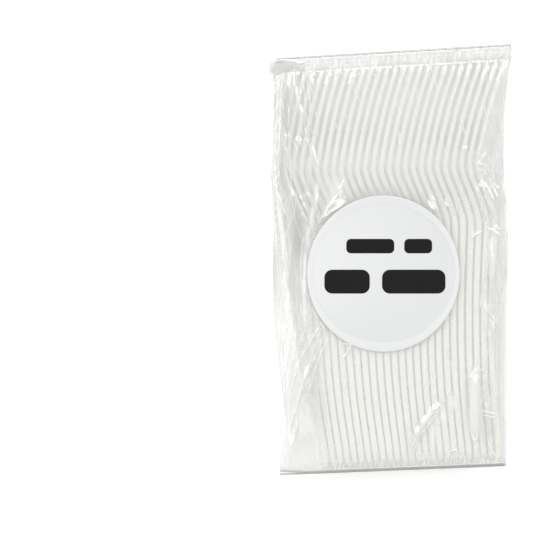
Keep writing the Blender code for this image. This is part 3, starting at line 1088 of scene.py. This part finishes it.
def loose_folds():
    """Random thin folds in each loose area, and the gathers at both seals, as FOLDS has them."""
    random = np.random.default_rng(31)
    made = []
    for (mx, my), (wide, tall), count, length, lean, half in LOOSE_AREAS:
        for _ in range(count):
            x = mx + random.uniform(-wide, wide)
            y = my + random.uniform(-tall, tall)
            reach = length * random.uniform(0.25, 0.6)
            slope = lean + random.normal(0, 0.12)
            bend = random.normal(0, 0.07) * reach
            ends = ((x + slope * reach, y + reach), (x + bend, y), (x - slope * reach, y - reach))
            made.append((ends, half * random.uniform(0.6, 1.2)))
    for low, high, y in SEAL_DOTS:
        for x in np.arange(low, high, 2.1):
            made.append((((x, y), (x + 0.6, y + 0.05), (x + 1.2, y + 0.1)), 0.15))
    for end, sign, longest in ((0.0795, -1, 7.5), (-0.0806, 1, 4.0)):
        x = -37.0 if sign < 0 else -23.0
        while x < 44.0:
            x += random.uniform(0.7, 2.4)
            y = skewed(x * MM, end) / MM
            reach = longest * random.uniform(0.25, 1.0)
            lean = random.normal(0.10, 0.16)
            kink = random.normal(0, 0.25)
            far = (x + lean * sign * reach, y + sign * reach)
            ends = ((x, y), (x + kink + lean * sign * reach / 2, y + sign * reach / 2), far)
            made.append((ends, random.uniform(0.16, 0.34)))
    return tuple(made)


def folds(along_way, across_way, spacing, seed, reach):
    """Random rounded folds side by side, each with its own length, strongest at across_way 0."""
    random = np.random.default_rng(seed)
    total = np.zeros_like(along_way)
    at = along_way.min()
    while at < along_way.max():
        at += spacing * random.uniform(0.45, 1.5)
        width = spacing * random.uniform(0.22, 0.42)
        length = reach * random.uniform(0.35, 1.25)
        lean = random.uniform(-0.25, 0.25)
        height = random.uniform(0.3, 1.0)
        away = (along_way - at - lean * across_way) / width
        total += height * np.exp(-(away**2)) * np.exp(-((across_way / length) ** 2))
    return total


def waves(x, y, seed, count, long_reach, wide_reach):
    """Smooth unevenness from a sum of slow waves, drawn out along the bag."""
    random = np.random.default_rng(seed)
    total = np.zeros_like(x)
    for _ in range(count):
        kx = random.uniform(0.4, 1.0) * 2 * math.pi / wide_reach
        ky = random.uniform(0.3, 1.0) * 2 * math.pi / long_reach
        total += np.sin(kx * x + ky * y + random.uniform(0, 6.28)) / count
    return total


def on_label(x, y):
    """1 under the label, falling to 0 just outside it."""
    low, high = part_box("round_label")
    middle, reach = (low + high) / 2, (high - low) / 2
    out = np.hypot((x - middle.x) / reach.x, (y - middle.y) / reach.y)
    return np.clip((1.06 - out) / 0.06, 0, 1)


def dips(points, upper, size):
    """How far each point of the upper face lies between two forks, from 0 on a fork's edge to 1."""
    places, faces = [], []
    for obj in bpy.data.objects:
        if obj.name.startswith(LAYERS[1]) and obj.name.endswith("moulded"):
            first = len(places)
            places.extend(v.co.copy() for v in obj.data.vertices)
            faces.extend([first + i for i in face.vertices] for face in obj.data.polygons)
    forks = BVHTree.FromPolygons(places, faces)
    found = np.zeros(upper.shape)
    down, reach = Vector((0, 0, -1)), 0.0012
    for ring, place in np.argwhere(upper > 0.5):
        x, y, z = points[ring, place]
        hit = forks.ray_cast(Vector((x, y, z + reach)), down, 4 * reach)[0]
        below = reach if hit is None else z - size.film_gap - hit.z
        found[ring, place] = min(max(below / reach, 0.0), 1.0)
    return (np.roll(found, 1, axis=1) + 2 * found + np.roll(found, -1, axis=1)) / 4


def film_mesh(size):
    """The bag's skin: rings lofted end to end, pushed along their normals by folds and creases."""
    rows = film_rows(size)
    rings = []
    for y, low, high, middle, gather in rows:
        close = along(CORNER_CLOSE, y) * gather
        section = film_section(y, high, close, low, middle)
        x = section[:, 0]
        rings.append(np.stack([x, skewed(x, np.full_like(x, y)), section[:, 1]], axis=1))
    points = np.array(rings)
    normals = grid_normals(points)
    if (normals[:, :, 2] * np.sign(points[:, :, 2] - 0.02)).sum() < 0:
        normals = -normals
    x, y = points[:, :, 0], points[:, :, 1]
    flat_y = np.array([row[0] for row in rows])[:, None] + 0 * x
    gather = np.array([row[4] for row in rows])[:, None]
    middle = np.array([row[3] for row in rows])[:, None]
    upper = np.clip((normals[:, :, 2] - 0.2) / 0.5, 0, 1) * (gather == 1.0)
    side = np.clip(1.0 - np.abs(normals[:, :, 2]) * 1.6, 0, 1) * (gather == 1.0)
    top_end, bottom_end = flat_y.max(), flat_y.min()
    creases, crest = crease_heights(x, y)
    off_label = 1.0 - on_label(x, y)
    push = upper * off_label * (creases - dips(points, upper, size) * size.film_dip)
    push += upper * off_label * waves(x, y, 5, 14, 0.060, 0.016) * size.unevenness
    pucker = folds(x, top_end - flat_y, 0.0024, 11, 0.0065) * size.pucker_height
    pucker += folds(x, top_end - flat_y, 0.0041, 12, 0.0120) * size.pucker_height * 0.7
    low_pucker = folds(x, flat_y - bottom_end, 0.0027, 13, 0.0040) * size.pucker_height
    push += (pucker + low_pucker) * gather**1.5 * np.clip((points[:, :, 2] - middle) / 0.006 + 0.3, 0, 1)
    left_wall = side * (x < 0)
    right_wall = side * (x > 0)
    wall_height = points[:, :, 2]
    wrinkles = folds(wall_height + 0.15 * flat_y, 0 * x, 0.0042, 21, 1.0)
    wrinkles_right = folds(wall_height - 0.10 * flat_y, 0 * x, 0.0050, 22, 1.0)
    swell = 0.5 + 0.5 * waves(flat_y, wall_height, 23, 5, 0.02, 0.03)
    push += (left_wall * wrinkles + right_wall * wrinkles_right) * swell * size.wall_folds
    points = points + normals * push[:, :, None]
    clamp_low = FILM_LOW.x, FILM_LOW.y, FILM_LOW.z
    clamp_high = FILM_HIGH.x, FILM_HIGH.y, FILM_HIGH.z + 0.0008
    points = np.clip(points, clamp_low, clamp_high)
    mesh = grid_mesh("film_bag_wrapped", points)
    faces_up = np.abs(grid_normals(points)[:, :, 2])
    flat = gather == 0.0
    # Painted highlight: whiter on the crests of creases and of the gathers at the seals; the flat seals are
    # whiter too, partly as crimped film is and partly as painted highlight
    shine = upper * crest * 0.45 + np.clip(pucker / size.pucker_height - 0.5, 0, 1) * 0.5 * (gather > 0)
    shine += flat * (0.15 + 0.25 * np.clip(folds(x, 0 * x, 0.0016, 14, 1.0), 0, 1))
    # Painted shade: greyer where the film is steep, along the rims of its ends, on the flat seals and in
    # bands next to both seals
    rim = np.minimum(top_end - flat_y, flat_y - bottom_end) < 0.0007
    steep = 0.6 * np.clip((0.80 - faces_up) / 0.6, 0, 1) * (flat_y - bottom_end > 0.0015)
    shade = (
        steep * np.where(gather == 1.0, 0.8, 0.5) * (gather > 0)
        + rim * np.where(flat_y > 0, 1.0, 0.3) + flat * 0.5
    )
    shade += 0.45 * np.exp(-(((top_end - flat_y) / 0.0042) ** 2)) * (gather > 0)
    shade += 0.25 * np.exp(-(((flat_y - bottom_end) / 0.0030) ** 2)) * (gather > 0)
    # Painted shade: the film greyed in the listed panels
    for middle_at, half_sizes, strength in PAINTED_SHADE_PANELS:
        shade += (normals[:, :, 2] > 0) * strength * spread(x, y, middle_at, half_sizes)
    # Painted highlight: the film whitened in the listed areas
    for middle_at, half_sizes, strength in PAINTED_HIGHLIGHTS:
        shine += upper * strength * spread(x, y, middle_at, half_sizes)
    from_left = x - along(LEFT_SHOULDER, flat_y)
    from_right = along(RIGHT_EDGE, flat_y) - x
    loose = np.exp(-np.clip(from_left, 0, 1) / 0.006) + 0.8 * np.exp(-from_right / 0.006)
    loose += 0.5 * np.exp(-(top_end - flat_y) / 0.010)
    loose *= 1.0 - 0.85 * np.clip((-0.048 - y) / 0.02, 0, 1) * (x < -0.015)
    calm = 0.9 * np.exp(-(((top_end - flat_y) / 0.0050) ** 2)) * (gather > 0)
    layers = (("shine", shine), ("shade", shade), ("loose", loose + 0.12), ("calm", calm))
    for name, values in layers:
        layer = mesh.attributes.new(name, "FLOAT", "POINT")
        layer.data.foreach_set("value", np.clip(values, 0, 1).astype(np.float32).ravel())
    return mesh


def grid_mesh(name, points):
    """A closed skin from rings of points, with a face over each end."""
    rings, count = points.shape[:2]
    index = np.arange(rings * count).reshape(rings, count)
    near, far = index[:-1], index[1:]
    quads = np.stack([near, np.roll(near, -1, 1), np.roll(far, -1, 1), far], axis=2).reshape(-1, 4)
    faces = [*quads.tolist(), index[0][::-1].tolist(), index[-1].tolist()]
    mesh = bpy.data.meshes.new(name)
    mesh.from_pydata(points.reshape(-1, 3), [], faces)
    mesh.update()
    bm = bmesh.new()
    bm.from_mesh(mesh)
    bmesh.ops.recalc_face_normals(bm, faces=bm.faces)
    bm.to_mesh(mesh)
    bm.free()
    mesh.shade_smooth()
    return mesh


# ---------------------------------------------------------------- label


def draped(mesh, stretch=(1.0, 1.0)):
    """Lays a flat shape, drawn round the origin, on a smooth sheet fitted over the film under the label."""
    low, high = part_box("round_label")
    middle = (low + high) / 2
    reach = (high.x - low.x) / 2
    level = math.cos(math.atan2(high.z - low.z, high.y - low.y))
    film = points_of(bpy.data.objects["film_bag_wrapped"].data)
    under = (on_label(film[:, 0], film[:, 1]) > 0.5) & (film[:, 2] > low.z - LABEL_DEPTH)
    film = film[under]

    def terms(x, y):
        u, v = (x - middle.x) / reach, (y - middle.y) / reach
        return np.stack([np.ones_like(u), u, v, u * v, u * u, v * v, v**3, u * u * v], axis=-1)

    sheet = np.linalg.lstsq(terms(film[:, 0], film[:, 1]), film[:, 2], rcond=None)[0]
    over = (film[:, 2] - terms(film[:, 0], film[:, 1]) @ sheet).max() + LABEL_LIFT
    flat = points_of(mesh)
    x = middle.x + flat[:, 0] * stretch[0]
    y = middle.y + (flat[:, 1] * stretch[1] + LABEL_SHIFT) * level
    z = terms(x, y) @ sheet + over + flat[:, 2]
    mesh.vertices.foreach_set("co", np.stack([x, y, z], axis=1).astype(np.float32).ravel())
    mesh.update()


class PACK_OT_label(bpy.types.Operator):
    """Makes the round label and the plain bars printed on it"""

    bl_idname = "pack.label"
    bl_label = "Label"

    def execute(self, context):
        look = context.scene.pack_looks
        disc = label_disc()
        new_piece("round_label_paper", disc, label_paper(look), ("round_label",))
        bars = label_bars()
        new_piece("label_print", bars, label_ink(look))
        return {"FINISHED"}


def label_disc():
    """A thin disc with a soft raised ring near its rim."""
    low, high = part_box("round_label")
    radius = (high.x - low.x) / 2
    top = 0.00012
    profile = (
        (0.0, top),
        *((radius * step / LABEL_RINGS, top) for step in range(1, LABEL_RINGS)),
        (radius - 0.0024, top),
        (radius - 0.0020, top + 0.00003),
        (radius - 0.0008, top + 0.00003),
        (radius - 0.0003, top),
        (radius, top - 0.0001),
        (radius, -top),
        *((radius * step / LABEL_RINGS, -top) for step in range(LABEL_RINGS - 1, -1, -1)),
    )
    mesh = bpy.data.meshes.new("label")
    bm = bmesh.new()
    verts = [bm.verts.new((r, 0.0, z)) for r, z in profile]
    edges = [bm.edges.new(pair) for pair in zip(verts, verts[1:])]
    spin = {"cent": (0, 0, 0), "axis": (0, 0, 1), "angle": 2 * math.pi, "steps": 128}
    bmesh.ops.spin(bm, geom=verts + edges, use_merge=True, use_duplicate=False, **spin)
    bmesh.ops.remove_doubles(bm, verts=bm.verts, dist=1e-7)
    bmesh.ops.recalc_face_normals(bm, faces=bm.faces)
    bm.to_mesh(mesh)
    bm.free()
    draped(mesh, LABEL_STRETCH)
    mesh.shade_smooth()
    mesh.set_sharp_from_angle(angle=math.radians(50))
    return mesh


# How far the label's middle lies above the film's highest point under it
LABEL_LIFT = 0.00012
LABEL_SHIFT = -0.0002
# How far below the label's lowest point film still counts as lying under it
LABEL_DEPTH = 0.006
LABEL_RINGS = 12
# The label is pulled a little long by the film: its scale across and along
LABEL_STRETCH = (0.988, 1.05)
# Bars on the label, in millimetres from its middle: x, y, length, height
BARS = (
    (-5.1, 11.1, 18.6, 5.8),
    (13.5, 11.1, 10.8, 5.8),
    (-14.1, -3.2, 17.6, 9.6),
    (11.8, -3.2, 24.6, 9.6),
)


def label_bars():
    bm = bmesh.new()
    for x, y, length, height in BARS:
        radius = height * 0.32
        corners = []
        for cx, cy, start in ((1, 1, 0), (-1, 1, 90), (-1, -1, 180), (1, -1, 270)):
            for step in range(9):
                a = math.radians(start + step * 90 / 8)
                px = x + cx * (length / 2 - radius) + radius * math.cos(a)
                py = y + cy * (height / 2 - radius) + radius * math.sin(a)
                corners.append(bm.verts.new((px * MM, py * MM, 0.00014)))
        face = bm.faces.new(corners)
        made = bmesh.ops.extrude_face_region(bm, geom=[face])
        up = [v for v in made["geom"] if isinstance(v, bmesh.types.BMVert)]
        bmesh.ops.translate(bm, vec=(0, 0, 0.00005), verts=up)
    bmesh.ops.recalc_face_normals(bm, faces=bm.faces)
    for cut in range(-12, 13):
        every = bm.verts[:] + bm.edges[:] + bm.faces[:]
        bmesh.ops.bisect_plane(bm, geom=every, plane_co=(cut * 2.5 * MM, 0, 0), plane_no=(1, 0, 0))
    for cut in range(-4, 8):
        every = bm.verts[:] + bm.edges[:] + bm.faces[:]
        bmesh.ops.bisect_plane(bm, geom=every, plane_co=(0, cut * 2 * MM, 0), plane_no=(0, 1, 0))
    bmesh.ops.triangulate(bm, faces=bm.faces)
    mesh = bpy.data.meshes.new("label_print")
    bm.to_mesh(mesh)
    bm.free()
    draped(mesh)
    return mesh


# ---------------------------------------------------------------- stage


def soft_light(name, place, aim, width, height, power):
    data = bpy.data.lights.new(name, "AREA")
    data.shape = "RECTANGLE"
    data.size, data.size_y, data.energy = width, height, power
    obj = bpy.data.objects.new(name, data)
    obj.location = place
    obj.rotation_euler = (Vector(aim) - Vector(place)).to_track_quat("-Z", "Y").to_euler()
    bpy.context.scene.collection.objects.link(obj)
    return obj


class PACK_OT_stage(bpy.types.Operator):
    """Makes the floor, the lights, the world and the camera above the pack"""

    bl_idname = "pack.stage"
    bl_label = "Stage"

    def execute(self, context):
        stage, look = context.scene.pack_stage, context.scene.pack_looks
        scene = context.scene
        bpy.ops.mesh.primitive_plane_add(size=stage.floor_size, location=(0, 0, -0.0002))
        floor = context.active_object
        floor.name = "floor"
        floor.data.materials.append(floor_paint(look))
        world = bpy.data.worlds.new("studio")
        world.use_nodes = True
        world.node_tree.nodes["Background"].inputs["Color"].default_value = (1.0, 1.0, 1.0, 1.0)
        world.node_tree.nodes["Background"].inputs["Strength"].default_value = stage.ambient
        scene.world = world
        middle = (0.0, 0.0, 0.04)
        soft_light("key_left", (-0.62, 0.25, 0.55), middle, 0.18, 0.9, stage.key_power)
        soft_light("strip_right", (0.66, 0.05, 0.50), middle, 0.10, 0.8, stage.key_power * 0.55)
        sun = bpy.data.lights.new("overhead", "SUN")
        sun.energy = stage.overhead * math.pi
        sun.angle = math.radians(30)
        top = bpy.data.objects.new("overhead", sun)
        top.location = (0.05, 0.42, 0.86)
        top.rotation_euler = (-top.location).to_track_quat("-Z", "Y").to_euler()
        scene.collection.objects.link(top)
        soft_light("fill_back", (0.0, 0.85, 0.70), middle, 0.9, 0.25, stage.key_power * 0.25)
        soft_light("fill_front", (0.0, -0.98, 0.15), middle, 0.9, 0.22, stage.front_power)
        data = bpy.data.cameras.new("camera")
        data.lens = stage.lens
        data.sensor_width = 36.0
        camera = bpy.data.objects.new("camera", data)
        half = stage.view_width / 2
        height = half / (data.sensor_width / 2 / data.lens)
        camera.location = (stage.view_x, stage.view_y, stage.view_level + height)
        scene.collection.objects.link(camera)
        scene.camera = camera
        scene.view_settings.view_transform = "Standard"
        scene.view_settings.look = "None"
        return {"FINISHED"}


# ---------------------------------------------------------------- settings


def length(name, text, default):
    return FloatProperty(name=name, description=text, default=default, unit="LENGTH", precision=5)


def number(name, text, default):
    return FloatProperty(name=name, description=text, default=default)


def colour(name, text, default):
    return FloatVectorProperty(name=name, description=text, default=default, subtype="COLOR", size=3)


class PackSizes(bpy.types.PropertyGroup):
    fork_thickness: length("Fork thickness", "Depth of the ledge just inside a fork's edge", 0.0027)
    rim_width: length("Rim width", "Distance of that ledge from the edge", 0.0010)
    edge_share: number("Edge share", "Thickness at the very edge, as a share of the ledge's", 0.62)
    web_share: number("Web share", "Thickness inside the ledge, as a share of the ledge's", 0.45)
    edge_radius: length("Edge radius", "Rounding along a fork's edges", 0.0005)
    rib_spacing: length("Rib spacing", "Distance between ribs on the handle", 0.0019)
    pucker_height: length("Pucker height", "Height of the gathers at the end seals", 0.0006)
    unevenness: length("Unevenness", "Slow waves in the film's upper face", 0.0002)
    film_dip: length("Film dip", "How far the film sinks between two forks", 0.0003)
    film_gap: length("Film gap", "Height of the film above the forks' edges", 0.0008)
    fold_width: number("Fold width", "How wide the long folds are, as a share of their drawn width", 1.25)
    wall_folds: length("Wall folds", "Height of the folds in the film's sides", 0.0010)


class PackLooks(bpy.types.PropertyGroup):
    fork_colour: colour("Fork colour", "Colour of the forks' plastic", (0.93, 0.925, 0.90))
    fork_variation: number("Fork variation", "How much darker the plastic clouds", 0.975)
    fork_spread: number("Fork spread", "Share of light that spreads inside the plastic", 0.4)
    # Painted light: strength of the forks' faint glow, though they are no lamp
    fork_painted_glow: number("Fork glow", "Light that comes through the plastic from behind", 0.075)
    fork_roughness: number("Fork roughness", "Roughness of the forks' plastic", 0.28)
    film_tint: colour("Film tint", "What the film lets through", (0.885, 0.885, 0.875))
    film_white: colour("Film white", "Colour of the film's gloss", (0.97, 0.97, 0.955))
    # Painted shade: the grey that the film's gloss turns where it is steep
    film_shade_grey: colour("Film grey", "Colour of the film's gloss where it is steep", (0.47, 0.47, 0.46))
    # Share of white gloss on the folds: partly doubled film's haze, partly painted highlight
    fold_haze_and_highlight: number("Fold haze", "Share of gloss where the film is folded", 0.5)
    film_mirror: number("Film mirror", "Share of the gloss that reflects as a mirror", 0.3)
    film_haze: number("Film haze", "Share of gloss where the film faces the eye", 0.33)
    film_edge: number("Film edge", "Further share of gloss where the film turns away", 0.5)
    # Painted highlight: further whitish gloss on the crests
    film_shine: number("Film shine", "Further share of gloss on the crests", 0.6)
    film_roughness: number("Film roughness", "Roughness of the film's gloss", 0.12)
    film_crinkle: number("Film crinkle", "Strength of the film's fine crinkles", 0.25)
    # The label's lighter side, and its darker side, which is painted shade
    label_colour: colour("Label colour", "Label at its lighter side", (0.69, 0.695, 0.697))
    label_painted_shade: colour("Label shade", "Label at its darker side", (0.63, 0.635, 0.64))
    ink_colour: colour("Ink colour", "Bars printed on the label", (0.008, 0.008, 0.009))
    floor_colour: colour("Floor colour", "The pale floor", (0.93, 0.93, 0.93))
    floor_glow: number("Floor glow", "Light that the floor adds, so that shadows stay pale", 0.30)


class PackStage(bpy.types.PropertyGroup):
    floor_size: length("Floor size", "Side of the floor", 6.0)
    ambient: number("Ambient", "Strength of the even light all round", 0.635)
    overhead: number("Overhead", "Strength of the soft light from above", 0.365)
    front_power: number("Front light", "Power of the wide soft light at the handles' end", 2.0)
    key_power: number("Key power", "Power of the main soft light, in watts", 2.6)
    lens: number("Lens", "Focal length in millimetres", 1000.0)
    view_width: length("View width", "Width of what the camera sees at the pack's upper face", 0.2134)
    view_x: length("View x", "Where the camera stands, across", -0.0444)
    view_y: length("View y", "Where the camera stands, along", -0.0058)
    view_level: length("View level", "Height at which the view width holds", 0.045)


class PACK_PT_panel(bpy.types.Panel):
    bl_label = "Cutlery Pack"
    bl_idname = "PACK_PT_panel"
    bl_space_type = "VIEW_3D"
    bl_region_type = "UI"
    bl_category = "Pack"

    def draw(self, context):
        for group in (context.scene.pack_sizes, context.scene.pack_looks, context.scene.pack_stage):
            box = self.layout.box()
            for key in group.__annotations__:
                box.prop(group, key)
        for operator in OPERATORS:
            self.layout.operator(operator.bl_idname)


OPERATORS = (PACK_OT_stage, PACK_OT_forks, PACK_OT_film, PACK_OT_label)
CLASSES = (PackSizes, PackLooks, PackStage, *OPERATORS, PACK_PT_panel)


def register():
    for cls in CLASSES:
        bpy.utils.register_class(cls)
    bpy.types.Scene.pack_sizes = PointerProperty(type=PackSizes)
    bpy.types.Scene.pack_looks = PointerProperty(type=PackLooks)
    bpy.types.Scene.pack_stage = PointerProperty(type=PackStage)


def unregister():
    for name in ("pack_sizes", "pack_looks", "pack_stage"):
        delattr(bpy.types.Scene, name)
    for cls in reversed(CLASSES):
        bpy.utils.unregister_class(cls)


def main():
    register()
    bpy.ops.pack.stage()
    bpy.ops.pack.forks()
    bpy.ops.pack.film()
    bpy.ops.pack.label()


if __name__ == "__main__":
    main()
